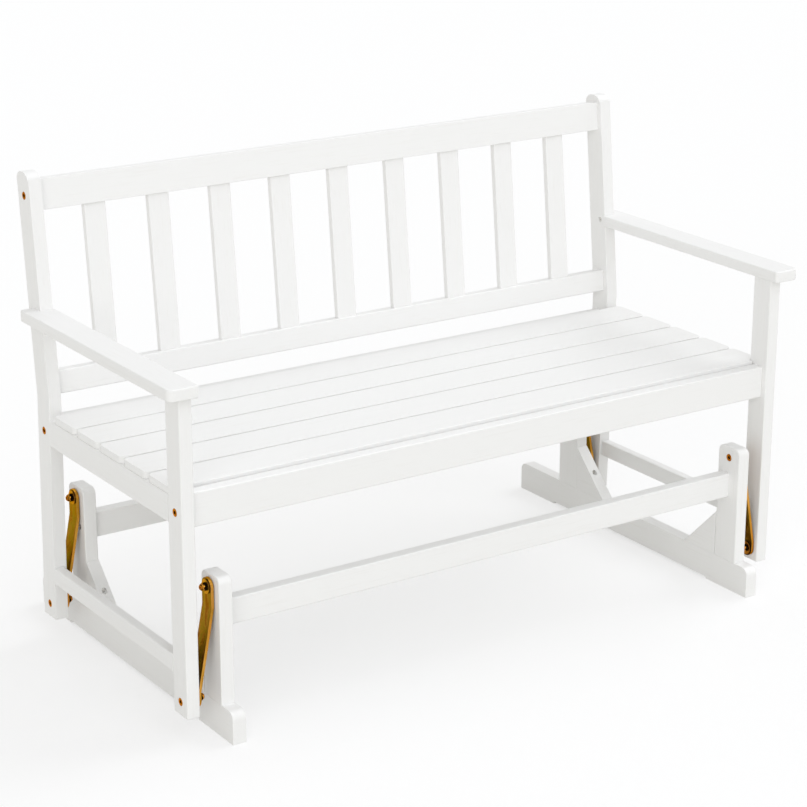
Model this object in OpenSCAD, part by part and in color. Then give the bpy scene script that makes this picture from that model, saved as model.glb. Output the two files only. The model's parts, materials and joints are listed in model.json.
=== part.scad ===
// White slatted glider bench: a fixed base of two skids, four hanging steel links
// and a bench that swings on them.
// Millimetres. +X is the bench's right as seen from the front, +Y is its rear, +Z is up.
// The origin is on the floor, under the middle of the skids.

/* [Bench frame] */
// Width over the outer faces of the legs
frame_w = 1200; // [1000:1500]
// Thickness of legs and rear posts, side to side
post_t = 23; // [20:28]
// Depth of legs and rear posts, front to back
post_d = 44; // [40:50]
// Height of the legs' lower ends above the floor
foot_z = 42; // [36:46]
// Height at which the rear posts bend
knee_z = 440; // [428:460]
// Height of the rear posts' tops
back_z = 818; // [780:900]
// Lean of the back, in degrees
back_lean = 6; // [3:9]
// How far a rear post's lower pivot stands behind its bend
foot_splay = 12; // [6:16]
// Rounding of the rear posts' tops
post_top_r = 18; // [10:20]
// Height of the lower side rails' undersides
lower_rail_z = 109; // [100:130]
// Height of a lower side rail
lower_rail_h = 30; // [24:40]
// Thickness of a lower side rail
lower_rail_t = 18; // [14:20]

/* [Seat] */
// Height of the seat's surface
seat_z = 418; // [412:424]
// Thickness of a seat slat
seat_slat_t = 12; // [11:16]
// Width of a seat slat
seat_slat_w = 77.5; // [72:0.5:78]
// Gap between two seat slats
seat_slat_gap = 5; // [4:6]
// Rounding of a seat slat's corners, seen from above
seat_slat_corner_r = 10; // [6:14]
// Rounding of a seat slat's long upper edges
seat_slat_edge_r = 4; // [2:6]
// How far the seat slats' ends lie inside the frame's outer faces
seat_slat_inset = 2; // [1:8]
// Height of the side rails and the rear rail under the seat
seat_rail_h = 46; // [38:52]
// Height of the front rail
front_rail_h = 57; // [50:64]
// How far the front rail's top lies below the seat's surface
front_rail_drop = 5; // [4:8]
// Thickness of the front, rear and middle rails of the seat
seat_rail_t = 22; // [18:24]
// Gap between the front rail and the front slat
front_gap = 3; // [2:5]
// Room between the seat slats and a leg or post
slat_notch_play = 1; // [0.6:0.1:2]

/* [Back] */
// Height of the back's top rail, along the lean
top_rail_h = 52; // [44:60]
// Distance from a post's top to the top rail
top_rail_drop = 13.5; // [10:18]
// Height of the back's lower rail, along the lean
low_rail_h = 40; // [34:46]
// Distance from the posts' bend to the lower rail
low_rail_rise = 5; // [3:10]
// Thickness of the back's rails
back_rail_t = 22; // [20:26]
// Width of a back slat
back_slat_w = 39; // [30:46]
// Thickness of a back slat
back_slat_t = 12; // [8:14]
// Depth to which a back slat's ends stand in the rails
tenon = 8; // [5:12]

/* [Armrests] */
// Height of the armrests' upper faces
arm_z = 593; // [570:620]
// Thickness of an armrest
arm_t = 20; // [18:24]
// How far an armrest reaches out past the leg
arm_out = 25; // [22:30]
// How far an armrest reaches in past the leg's inner face
arm_in = 4; // [2:10]
// How far an armrest reaches out in front of the leg
arm_front = 18; // [14:30]
// How far an armrest's tail runs back beside the post
arm_tail = 28; // [24:34]
// Rounding of an armrest's front outer corner
arm_outer_r = 12; // [8:16]
// Rounding of an armrest's front inner corner
arm_inner_r = 5; // [3:8]

/* [Base] */
// Room for the links between the base and the legs, on each side
link_room = 35; // [30:42]
// Thickness of the base's skids, uprights and gussets
base_t = 24; // [20:28]
// Length of a skid
skid_len = 680; // [660:760]
// Height of a skid
skid_h = 55; // [50:60]
// Rounding of the skids' upper ends
skid_end_r = 14; // [8:20]
// Length of the pad under each end of a skid
pad_len = 110; // [90:140]
// Height by which the skid's middle clears the floor
pad_h = 4; // [2:6]
// Distance from a skid's front end to its front upright
upright_inset = 34; // [30:44]
// Depth of an upright, front to back
upright_d = 56; // [50:60]
// Height of the uprights' tops
upright_z = 270; // [265:285]
// Rounding of the uprights' tops
upright_r = 12; // [8:18]
// Length of a gusset along the upright and along the skid
gusset = 84; // [70:90]
// Height of a stretcher
stretcher_h = 45; // [40:50]
// Thickness of a stretcher
stretcher_t = 22; // [18:26]
// Distance from an upright's top to the stretcher
stretcher_drop = 49; // [45:55]
// How far a stretcher lies from its upright's middle, towards the bench's middle
stretcher_shift = 7.5; // [4:0.5:9]

/* [Links and pivots] */
// Distance from the front pivots to the rear pivots
pivot_span = 466; // [460:480]
// Distance from an upright's top to its pivot
pivot_drop = 20; // [16:24]
// Distance between a link's two pivots
link_len = 184; // [176:188]
// Width of a link
link_w = 29; // [26:32]
// Thickness of a link
link_t = 5; // [4:6]
// Length of a link's straight upper end, below the pivot
link_top_end = 33; // [26:40]
// Length of a link's straight lower end, above the pivot
link_low_end = 14; // [13:20]
// Radius of the pivot bolts
pivot_r = 4; // [3:5]
// Wall of the bushes in the links' eyes
bush_wall = 2; // [1.5:0.1:2.5]
// Radius of the washers
washer_r = 12; // [10:0.5:12.5]
// Thickness of a washer
washer_t = 1.6; // [1:0.1:2]
// Width of a lock nut over its flats
nut_w = 13; // [12:15]
// Height of a lock nut's hexagon
nut_h = 5.5; // [4:7]
// Height of a lock nut's round collar
nut_collar = 2; // [1:3]
// How far a pivot bolt's end stands out of its nut
bolt_tip = 2; // [1:3]
// Radial clearance of a turning pivot
pivot_play = 0.08; // [0.05:0.01:0.1]
// Clearance between faces that turn past each other
face_play = 0.2; // [0.15:0.05:0.3]

/* [Screws and bolts] */
// Radius of the pivot and frame bolts' sunk heads
head_r = 6.5; // [6:7]
// Height of a bolt's head
head_h = 4; // [3:5]
// Radius of the frame bolts
frame_bolt_r = 3; // [2.5:0.5:4]
// Length of a frame bolt inside the rail that it holds
frame_bolt_grip = 52; // [40:56]
// Depth of the stretcher bolts' heads below the face
stretcher_head_depth = 7; // [5:9]
// Radius of a wood screw
screw_r = 2.2; // [2:0.1:2.6]
// Radius of a wood screw's head
screw_head_r = 4.4; // [4:0.1:4.8]
// Height of a wood screw's head
screw_head_h = 3; // [2:4]
// Depth of a sunk wood screw's head below the face
screw_sink = 1; // [0.5:0.5:2]
// Grip of an arm screw in the armrest
arm_screw_grip = 18; // [14:20]
// Grip of a gusset screw in the upright
gusset_screw_grip = 24; // [20:30]
// Depth of the skid screws' heads below the skid
skid_screw_sink = 12; // [8:16]
// Grip of a skid screw in the piece above the skid
skid_screw_grip = 30; // [24:34]
// Radial clearance round a fixed bolt or screw
hole_play = 0.3; // [0.2:0.1:0.5]
// Extra depth of a hole past a bolt's or screw's end
hole_end = 2; // [1:3]

/* [Hidden] */
$fn = 48;
ANY = 1;
BACK_SLATS = 9;
SCREW_DRIVE_R = 1.6;
SOCKET_SHARE = 0.6;
NUT_COLLAR_STEP = 1;

// Places along the length
frame_x = frame_w / 2;
frame_in_x = frame_x - post_t;
base_x = frame_in_x - link_room;
base_in_x = base_x - base_t;

// Places along the depth
front_y = -skid_len / 2 + upright_inset + upright_d / 2;
rear_y = front_y + pivot_span;
leg_front_y = front_y - post_d / 2;
leg_rear_y = front_y + post_d / 2;
knee_y = rear_y - foot_splay;
front_rail_y = front_y - seat_rail_t / 2;
first_slat_y = front_rail_y + seat_rail_t + front_gap;

// Heights
pivot_top_z = upright_z - pivot_drop;
pivot_low_z = pivot_top_z - link_len;
seat_rail_top = seat_z - seat_slat_t;
seat_rail_bottom = seat_rail_top - seat_rail_h;
front_rail_top = seat_z - front_rail_drop;
front_rail_bottom = front_rail_top - front_rail_h;
stretcher_top = upright_z - stretcher_drop;
stretcher_mid_z = stretcher_top - stretcher_h / 2;
seat_bolt_z = seat_rail_top - seat_rail_h / 2;

// A rear post's middle and front face at a height
function post_mid(z) = z < knee_z
  ? knee_y + foot_splay * (knee_z - z) / (knee_z - pivot_low_z)
  : knee_y + (z - knee_z) * tan(back_lean);
function post_face(z) = post_mid(z) - post_d / 2;

// The back's own frame: it starts at the bend, and its z runs up the leaning posts
back_len = (back_z - knee_z) / cos(back_lean);
low_rail_top = low_rail_rise + low_rail_h;
top_rail_top = back_len - top_rail_drop;
top_rail_bottom = top_rail_top - top_rail_h;
back_slat_gap = (2 * frame_in_x - BACK_SLATS * back_slat_w) / (BACK_SLATS + 1);

// Across a pivot, counted from the wood's face: washer, link, washer, nut
link_at = washer_t + face_play;
outer_washer_at = link_at + link_t + face_play;
nut_at = outer_washer_at + washer_t;
tip_at = nut_at + nut_h + nut_collar + bolt_tip;
bush_r = pivot_r + pivot_play + bush_wall;
link_top_x = base_x + link_at;
link_low_x = frame_in_x - link_at - link_t;

module white() { color([0.94, 0.94, 0.93]) children(); }
module zinc() { color([0.74, 0.55, 0.22]) children(); }
module steel() { color([0.5, 0.42, 0.28]) children(); }

// A side-on outline, y across and z up, made solid from x0 to x1
module side_board(x0, x1) {
  translate([x0, 0, 0]) rotate([90, 0, 90]) linear_extrude(x1 - x0) children();
}

// A box from its lowest to its highest corner
module block(low, high) { translate(low) cube(high - low); }

// The mirror image for the left side
module on_side(side) {
  if (side < 0) mirror([1, 0, 0]) children();
  else children();
}

// The tip cut off a corner at the origin, whose material lies towards +x and +y
module corner_tip(r) {
  difference() {
    translate([-ANY, -ANY]) square(r + ANY);
    translate([r, r]) circle(r);
  }
}

// Places things in the back's own frame
module on_back() { translate([0, knee_y, knee_z]) rotate([-back_lean, 0, 0]) children(); }

// Points local z along +x or -x
module along_x(sign) { rotate([0, 90 * sign, 0]) children(); }

// A bolt with a sunk hexagon-socket head; its head's top is at z = 0 and it points to +z
module socket_bolt(r, length) {
  difference() {
    union() {
      cylinder(r = head_r, h = head_h);
      cylinder(r = r, h = length);
    }
    translate([0, 0, -ANY]) cylinder(r = head_r / 2, h = head_h * SOCKET_SHARE + ANY, $fn = 6);
  }
}

// The hole for it, with the head sunk by depth
module bolt_hole(r, length, depth = 0) {
  translate([0, 0, -depth - ANY]) cylinder(r = head_r + hole_play, h = depth + head_h + ANY);
  cylinder(r = r + hole_play, h = length);
}

// A wood screw with a flat head and a square drive, head's top at z = 0, pointing to +z
module wood_screw(length) {
  difference() {
    union() {
      cylinder(r = screw_head_r, h = screw_head_h);
      cylinder(r = screw_r, h = length);
    }
    translate([0, 0, -ANY]) cylinder(r = SCREW_DRIVE_R, h = screw_head_h / 2 + ANY, $fn = 4);
  }
}

// The hole for it, with the head sunk by depth
module screw_hole(length, depth) {
  translate([0, 0, -depth - ANY]) cylinder(r = screw_head_r + hole_play, h = depth + screw_head_h + ANY);
  cylinder(r = screw_r + hole_play, h = length + hole_end);
}

// Base

module skid_outline() {
  front = -skid_len / 2;
  rear = skid_len / 2;
  difference() {
    translate([front, 0]) square([skid_len, skid_h]);
    translate([front, skid_h]) rotate(-90) corner_tip(skid_end_r);
    translate([rear, skid_h]) rotate(180) corner_tip(skid_end_r);
    translate([front + pad_len, -ANY]) square([skid_len - 2 * pad_len, pad_h + ANY]);
  }
}

// Places of the skid screws: two under each upright, one under each gusset
function skid_screw_ys() = [
  for (end = [[front_y, 1], [rear_y, -1]])
    for (step = [-upright_d / 4, upright_d / 4, upright_d / 2 + gusset / 3])
      end[0] + end[1] * step
];

module skid_screw_places() {
  for (y = skid_screw_ys()) translate([base_x - base_t / 2, y, skid_screw_sink]) children();
}

module skid(side) white() on_side(side) {
  difference() {
    side_board(base_in_x, base_x) skid_outline();
    skid_screw_places() screw_hole(skid_h, skid_screw_sink);
  }
}

// Turns a front place on the skid into the matching rear one
module at_end(end) {
  if (end < 0) translate([0, front_y, 0]) children();
  else translate([0, rear_y, 0]) mirror([0, 1, 0]) children();
}

// Places of the stretcher's bolts and the upper pivot's bolt, for an upright whose middle is at y = 0
module stretcher_bolt_place() {
  translate([base_x - stretcher_head_depth, stretcher_shift, stretcher_mid_z]) along_x(-1) children();
}
module upper_bolt_place() { translate([base_in_x, 0, pivot_top_z]) along_x(1) children(); }
upper_bolt_len = base_t + tip_at;
stretcher_bolt_len = base_t - stretcher_head_depth + frame_bolt_grip;

// The gusset screw starts on the slanted edge, half way up, and runs forward into the upright
gusset_screw_run = gusset / 2 - screw_head_r - screw_sink;
module gusset_screw_place() {
  translate([base_x - base_t / 2, upright_d / 2 + gusset_screw_run, skid_h + gusset / 2])
    rotate([90, 0, 0]) children();
}
gusset_screw_len = gusset_screw_run + gusset_screw_grip;
skid_screw_len = skid_h - skid_screw_sink + skid_screw_grip;

module upright(side, end) white() on_side(side) at_end(end) {
  difference() {
    side_board(base_in_x, base_x) difference() {
      translate([-upright_d / 2, skid_h]) square([upright_d, upright_z - skid_h]);
      translate([-upright_d / 2, upright_z]) rotate(-90) corner_tip(upright_r);
      translate([upright_d / 2, upright_z]) rotate(180) corner_tip(upright_r);
    }
    upper_bolt_place() bolt_hole(pivot_r, upper_bolt_len);
    stretcher_bolt_place() bolt_hole(frame_bolt_r, stretcher_bolt_len, stretcher_head_depth);
    gusset_screw_place() screw_hole(gusset_screw_len, ANY);
    for (y = [-upright_d / 4, upright_d / 4])
      translate([base_x - base_t / 2, y, skid_screw_sink]) screw_hole(skid_screw_len, ANY);
  }
}

module gusset_block(side, end) white() on_side(side) at_end(end) {
  difference() {
    side_board(base_in_x, base_x)
      translate([upright_d / 2, skid_h]) polygon([[0, 0], [gusset, 0], [0, gusset]]);
    gusset_screw_place() screw_hole(gusset_screw_len, gusset);
    translate([base_x - base_t / 2, upright_d / 2 + gusset / 3, skid_screw_sink])
      screw_hole(skid_screw_len, ANY);
  }
}

module stretcher(end) white() difference() {
  at_end(end) block([-base_in_x, stretcher_shift - stretcher_t / 2, stretcher_top - stretcher_h],
                    [base_in_x, stretcher_shift + stretcher_t / 2, stretcher_top]);
  for (side = [-1, 1]) on_side(side) at_end(end)
    stretcher_bolt_place() bolt_hole(frame_bolt_r, stretcher_bolt_len + hole_end);
}

module each_corner() {
  for (side = [-1, 1]) for (end = [-1, 1]) on_side(side) at_end(end) children();
}

module skid_screws() steel() for (side = [-1, 1])
  on_side(side) skid_screw_places() wood_screw(skid_screw_len);
module gusset_screws() zinc() each_corner() gusset_screw_place() wood_screw(gusset_screw_len);
module stretcher_bolts() zinc() each_corner()
  stretcher_bolt_place() socket_bolt(frame_bolt_r, stretcher_bolt_len);

// Pivots: every one is a bolt through the wood, a washer, the link, a washer and a lock nut

module washer_at(height) translate([0, 0, height]) difference() {
  cylinder(r = washer_r, h = washer_t);
  translate([0, 0, -ANY]) cylinder(r = pivot_r + pivot_play, h = washer_t + 2 * ANY);
}
module nut_on_bolt() translate([0, 0, nut_at]) difference() {
  union() {
    cylinder(d = nut_w / cos(30), h = nut_h, $fn = 6);
    cylinder(r = nut_w / 2 - NUT_COLLAR_STEP, h = nut_h + nut_collar);
  }
  translate([0, 0, -ANY]) cylinder(r = pivot_r + pivot_play, h = nut_h + nut_collar + 2 * ANY);
}

// The wood's face beside the link, with z pointing at the link
module upper_face() { translate([base_x, 0, pivot_top_z]) along_x(1) children(); }
module lower_face() { translate([frame_in_x, 0, pivot_low_z]) along_x(-1) children(); }
module lower_bolt_place() { translate([frame_x, 0, pivot_low_z]) along_x(-1) children(); }
lower_bolt_len = post_t + tip_at;

module upper_pivot_bolts() zinc() each_corner() upper_bolt_place() socket_bolt(pivot_r, upper_bolt_len);
module upper_lock_nuts() zinc() each_corner() upper_face() nut_on_bolt();
module upper_washers() zinc() each_corner() upper_face() {
  washer_at(0);
  washer_at(outer_washer_at);
}
module lower_pivot_bolts() zinc() each_corner() lower_bolt_place() socket_bolt(pivot_r, lower_bolt_len);
module lower_lock_nuts() zinc() each_corner() lower_face() nut_on_bolt();
module lower_washers() zinc() each_corner() lower_face() {
  washer_at(0);
  washer_at(outer_washer_at);
}

// Links: flat bars with round eyes, bent outwards between the upright's outer and the leg's inner face

module link_edge_on() {
  top = pivot_top_z + link_w;
  low = pivot_low_z - link_w;
  bend_top = pivot_top_z - link_top_end;
  bend_low = pivot_low_z + link_low_end;
  polygon([
    [link_low_x, low], [link_low_x + link_t, low], [link_low_x + link_t, bend_low],
    [link_top_x + link_t, bend_top], [link_top_x + link_t, top], [link_top_x, top],
    [link_top_x, bend_top], [link_low_x, bend_low]
  ]);
}

module link_side_on() {
  translate([-link_w / 2, pivot_low_z]) square([link_w, link_len]);
  for (z = [pivot_low_z, pivot_top_z]) translate([0, z]) circle(link_w / 2);
}

module link(side, end) zinc() on_side(side) at_end(end) {
  difference() {
    intersection() {
      translate([0, link_w, 0]) rotate([90, 0, 0]) linear_extrude(2 * link_w) link_edge_on();
      side_board(base_x, frame_x) link_side_on();
    }
    for (eye = [[link_top_x, pivot_top_z], [link_low_x, pivot_low_z]])
      translate([eye[0] - ANY, 0, eye[1]]) along_x(1) cylinder(r = bush_r, h = link_t + 2 * ANY);
  }
}

module bushes(side, end) steel() on_side(side) at_end(end) {
  for (eye = [[link_top_x, pivot_top_z], [link_low_x, pivot_low_z]])
    translate([eye[0], 0, eye[1]]) along_x(1) difference() {
      cylinder(r = bush_r, h = link_t);
      translate([0, 0, -ANY]) cylinder(r = pivot_r + pivot_play, h = link_t + 2 * ANY);
    }
}

// Bench

arm_bottom = arm_z - arm_t;
frame_bolt_len = post_t + frame_bolt_grip;

// Places of the frame bolts on the right side
module front_rail_bolt() { translate([frame_x, front_y, seat_bolt_z]) along_x(-1) children(); }
module rear_rail_bolt() {
  translate([frame_x, post_mid(seat_bolt_z), seat_bolt_z]) along_x(-1) children();
}
module top_rail_bolt() {
  on_back() translate([frame_x, 0, (top_rail_top + top_rail_bottom) / 2]) along_x(-1) children();
}
// The arm screw runs from the post's inner face into the armrest's tail
module arm_screw_place() {
  z = arm_bottom + arm_t / 2;
  translate([frame_in_x + screw_sink, post_face(z) + arm_tail / 2, z]) along_x(1) children();
}
arm_screw_len = post_t - screw_sink + arm_screw_grip;

module front_leg(side) white() on_side(side) difference() {
  block([frame_in_x, leg_front_y, foot_z], [frame_x, leg_rear_y, arm_bottom]);
  front_rail_bolt() bolt_hole(frame_bolt_r, frame_bolt_len);
  translate([0, front_y, 0]) lower_bolt_place() bolt_hole(pivot_r, lower_bolt_len);
}

module post_outline() {
  half = post_d / 2;
  difference() {
    polygon([
      [post_mid(foot_z) - half, foot_z], [post_mid(foot_z) + half, foot_z],
      [knee_y + half, knee_z], [post_mid(back_z) + half, back_z],
      [post_mid(back_z) - half, back_z], [knee_y - half, knee_z]
    ]);
    translate([post_mid(back_z) - half, back_z]) rotate(-90) corner_tip(post_top_r);
    translate([post_mid(back_z) + half, back_z]) rotate(180) corner_tip(post_top_r);
  }
}

module rear_post(side) white() on_side(side) difference() {
  side_board(frame_in_x, frame_x) post_outline();
  rear_rail_bolt() bolt_hole(frame_bolt_r, frame_bolt_len);
  top_rail_bolt() bolt_hole(frame_bolt_r, frame_bolt_len);
  arm_screw_place() screw_hole(arm_screw_len, screw_sink);
  translate([0, rear_y, 0]) lower_bolt_place() bolt_hole(pivot_r, lower_bolt_len);
}

// A rail from the leg's rear face to the slanted front face of the post
module leg_to_post(bottom, top, thickness) {
  side_board(frame_x - thickness, frame_x) polygon([
    [leg_rear_y, bottom], [post_face(bottom), bottom], [post_face(top), top], [leg_rear_y, top]
  ]);
}

module seat_rail(side) white() on_side(side) leg_to_post(seat_rail_bottom, seat_rail_top, post_t);
module lower_rail(side) white() on_side(side)
  leg_to_post(lower_rail_z, lower_rail_z + lower_rail_h, lower_rail_t);

// Everything behind the post's front face, from the seat rail up
module behind_posts(low, high, play) {
  far = knee_y + back_z;
  polygon([[post_face(low) - play, low], [far, low], [far, high], [post_face(high) - play, high]]);
}

module armrest(side) white() on_side(side) {
  x0 = frame_in_x - arm_in;
  x1 = frame_x + arm_out;
  y0 = leg_front_y - arm_front;
  y1 = post_face(arm_bottom) + arm_tail;
  difference() {
    translate([0, 0, arm_bottom]) linear_extrude(arm_t) difference() {
      translate([x0, y0]) square([x1 - x0, y1 - y0]);
      translate([x0, y0]) corner_tip(arm_inner_r);
      translate([x1, y0]) rotate(90) corner_tip(arm_outer_r);
      translate([x1, y1]) rotate(180) corner_tip(arm_inner_r);
    }
    side_board(x0 - ANY, frame_x) behind_posts(arm_bottom - ANY, arm_z + ANY, 0);
    arm_screw_place() screw_hole(arm_screw_len, 0);
  }
}

module front_seat_rail() white() difference() {
  block([-frame_in_x, front_rail_y, front_rail_bottom],
        [frame_in_x, front_rail_y + seat_rail_t, front_rail_top]);
  for (side = [-1, 1]) on_side(side) front_rail_bolt() bolt_hole(frame_bolt_r, frame_bolt_len + hole_end);
}

rear_rail_y = post_mid(seat_bolt_z) - seat_rail_t / 2;
module rear_seat_rail() white() difference() {
  block([-frame_in_x, rear_rail_y, seat_rail_bottom],
        [frame_in_x, rear_rail_y + seat_rail_t, seat_rail_top]);
  for (side = [-1, 1]) on_side(side) rear_rail_bolt() bolt_hole(frame_bolt_r, frame_bolt_len + hole_end);
}

module middle_seat_rail() white()
  block([-seat_rail_t / 2, front_rail_y + seat_rail_t, seat_rail_bottom],
        [seat_rail_t / 2, rear_rail_y, seat_rail_top]);

// Seat slats are numbered from the front
module seat_slat(number) white() {
  length = frame_w - 2 * seat_slat_inset;
  y = first_slat_y + (number - 1) * (seat_slat_w + seat_slat_gap);
  difference() {
    side_board(-length / 2, length / 2) difference() {
      translate([y, seat_rail_top]) square([seat_slat_w, seat_slat_t]);
      translate([y, seat_z]) rotate(-90) corner_tip(seat_slat_edge_r);
      translate([y + seat_slat_w, seat_z]) rotate(180) corner_tip(seat_slat_edge_r);
    }
    translate([0, 0, seat_rail_top - ANY]) linear_extrude(seat_slat_t + 2 * ANY) {
      for (sx = [-1, 1]) for (end = [0, 1])
        translate([sx * length / 2, y + end * seat_slat_w]) rotate(sx < 0 ? -90 * end : 90 + 90 * end)
          corner_tip(seat_slat_corner_r);
    }
    for (side = [-1, 1]) on_side(side) {
      block([frame_in_x - slat_notch_play, leg_front_y, seat_rail_top - ANY],
            [frame_x, leg_rear_y + slat_notch_play, seat_z + ANY]);
      side_board(frame_in_x - slat_notch_play, frame_x)
        behind_posts(seat_rail_top - ANY, seat_z + ANY, slat_notch_play);
    }
  }
}

function back_slat_x(number) = -frame_in_x + number * back_slat_gap + (number - 0.5) * back_slat_w;

module back_slat_block(number, low, high) {
  x = back_slat_x(number);
  block([x - back_slat_w / 2, -back_slat_t / 2, low], [x + back_slat_w / 2, back_slat_t / 2, high]);
}

module back_rail(low, high) {
  difference() {
    block([-frame_in_x, -back_rail_t / 2, low], [frame_in_x, back_rail_t / 2, high]);
    for (n = [1 : BACK_SLATS]) back_slat_block(n, low_rail_top - tenon, top_rail_bottom + tenon);
  }
}

module back_top_rail() white() difference() {
  on_back() back_rail(top_rail_bottom, top_rail_top);
  for (side = [-1, 1]) on_side(side) top_rail_bolt() bolt_hole(frame_bolt_r, frame_bolt_len + hole_end);
}
module back_lower_rail() white() on_back() back_rail(low_rail_rise, low_rail_top);
module back_slat(number) white() on_back()
  back_slat_block(number, low_rail_top - tenon, top_rail_bottom + tenon);

module frame_bolts() zinc() for (side = [-1, 1]) on_side(side) {
  front_rail_bolt() socket_bolt(frame_bolt_r, frame_bolt_len);
  rear_rail_bolt() socket_bolt(frame_bolt_r, frame_bolt_len);
  top_rail_bolt() socket_bolt(frame_bolt_r, frame_bolt_len);
}
module arm_screws() zinc() for (side = [-1, 1]) on_side(side) arm_screw_place() wood_screw(arm_screw_len);

skid(-1);  // left_skid
skid(1);  // right_skid
upright(-1, -1);  // left_front_upright
upright(-1, 1);  // left_rear_upright
upright(1, -1);  // right_front_upright
upright(1, 1);  // right_rear_upright
gusset_block(-1, -1);  // left_front_gusset
gusset_block(-1, 1);  // left_rear_gusset
gusset_block(1, -1);  // right_front_gusset
gusset_block(1, 1);  // right_rear_gusset
stretcher(-1);  // front_stretcher
stretcher(1);  // rear_stretcher
upper_pivot_bolts();
upper_lock_nuts();
upper_washers();
stretcher_bolts();
gusset_screws();
skid_screws();
link(-1, -1);  // left_front_link
link(-1, 1);  // left_rear_link
link(1, -1);  // right_front_link
link(1, 1);  // right_rear_link
bushes(-1, -1);  // left_front_bushes
bushes(-1, 1);  // left_rear_bushes
bushes(1, -1);  // right_front_bushes
bushes(1, 1);  // right_rear_bushes
front_leg(-1);  // left_front_leg
front_leg(1);  // right_front_leg
rear_post(-1);  // left_rear_post
rear_post(1);  // right_rear_post
seat_rail(-1);  // left_seat_rail
seat_rail(1);  // right_seat_rail
lower_rail(-1);  // left_lower_rail
lower_rail(1);  // right_lower_rail
armrest(-1);  // left_armrest
armrest(1);  // right_armrest
front_seat_rail();
rear_seat_rail();
middle_seat_rail();
seat_slat(1);  // seat_slat_1
seat_slat(2);  // seat_slat_2
seat_slat(3);  // seat_slat_3
seat_slat(4);  // seat_slat_4
seat_slat(5);  // seat_slat_5
back_top_rail();
back_lower_rail();
back_slat(1);  // back_slat_1
back_slat(2);  // back_slat_2
back_slat(3);  // back_slat_3
back_slat(4);  // back_slat_4
back_slat(5);  // back_slat_5
back_slat(6);  // back_slat_6
back_slat(7);  // back_slat_7
back_slat(8);  // back_slat_8
back_slat(9);  // back_slat_9
lower_pivot_bolts();
lower_lock_nuts();
lower_washers();
frame_bolts();
arm_screws();
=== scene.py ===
"""Looks of the white slatted glider bench: painted boards, yellow zinc hardware, studio and camera."""

import json
import logging
import math
from dataclasses import dataclass, field
from enum import Enum
from typing import Callable

import bmesh
import bpy
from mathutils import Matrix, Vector


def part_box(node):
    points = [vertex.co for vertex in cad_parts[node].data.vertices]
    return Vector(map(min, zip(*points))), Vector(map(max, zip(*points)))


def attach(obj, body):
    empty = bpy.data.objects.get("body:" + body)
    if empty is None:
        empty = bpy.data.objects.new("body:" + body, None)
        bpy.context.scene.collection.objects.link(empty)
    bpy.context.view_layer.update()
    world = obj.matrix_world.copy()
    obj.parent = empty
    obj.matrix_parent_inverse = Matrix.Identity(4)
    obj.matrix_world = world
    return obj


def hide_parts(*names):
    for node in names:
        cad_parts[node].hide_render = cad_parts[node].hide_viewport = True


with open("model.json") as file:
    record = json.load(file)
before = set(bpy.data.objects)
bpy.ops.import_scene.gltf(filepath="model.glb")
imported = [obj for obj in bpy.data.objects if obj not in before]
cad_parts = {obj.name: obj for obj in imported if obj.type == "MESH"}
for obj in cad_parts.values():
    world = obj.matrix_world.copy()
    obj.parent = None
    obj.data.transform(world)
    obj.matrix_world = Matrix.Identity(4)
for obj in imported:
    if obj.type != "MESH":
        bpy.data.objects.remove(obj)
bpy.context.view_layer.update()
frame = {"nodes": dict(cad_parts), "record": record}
LOG = logging.getLogger("glider_bench")

BODY_OF: dict[str, str] = {
    node: body for body, nodes in frame["record"]["behaviour"]["bodies"].items() for node in nodes
}
PAINT_SLOT, ZINC_SLOT, STEEL_SLOT = "painted_wood", "zinc", "hidden_steel"
X, Y, Z = 0, 1, 2
WELD = 0.00002
CAD_WELD = WELD / 10
SHARP_FROM = math.radians(35)
AIM = "aim"
ROUND_SIDES = 40
SLAT_CORNER_STEPS = 6
LINK_END_STEPS, LINK_BEND_STEPS = 16, 120
# The radius of a link's round ends, as a share of its width: a full half would leave no straight edge.
NEARLY_HALF = 0.4999
# The foot of the cone that takes a nut's corners off, as a share of the nut's width across flats.
CHAMFER_CONE = 0.75
# Nearly all values of a noise texture lie in this range.
NOISE_RANGE = (0.3, 0.7)
WHITE = (1.0, 1.0, 1.0, 1.0)


class Grain(Enum):
    """The way a board's grain runs, with how a pattern is squeezed along each axis."""

    ALONG_X = (0.05, 1.0, 1.0)
    ALONG_Y = (1.0, 0.05, 1.0)
    ALONG_Z = (1.0, 1.0, 0.05)

    @staticmethod
    def of_box(low: Vector, high: Vector) -> "Grain":
        """Returns the grain of a board from its lowest and highest corners."""
        size = high - low
        return list(Grain)[list(size).index(max(size))]


class End(Enum):
    """The end that a bolt, screw or nut starts at, and whether it goes outwards (1) or inwards (-1)."""

    INNER = 1
    OUTER = -1


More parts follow.
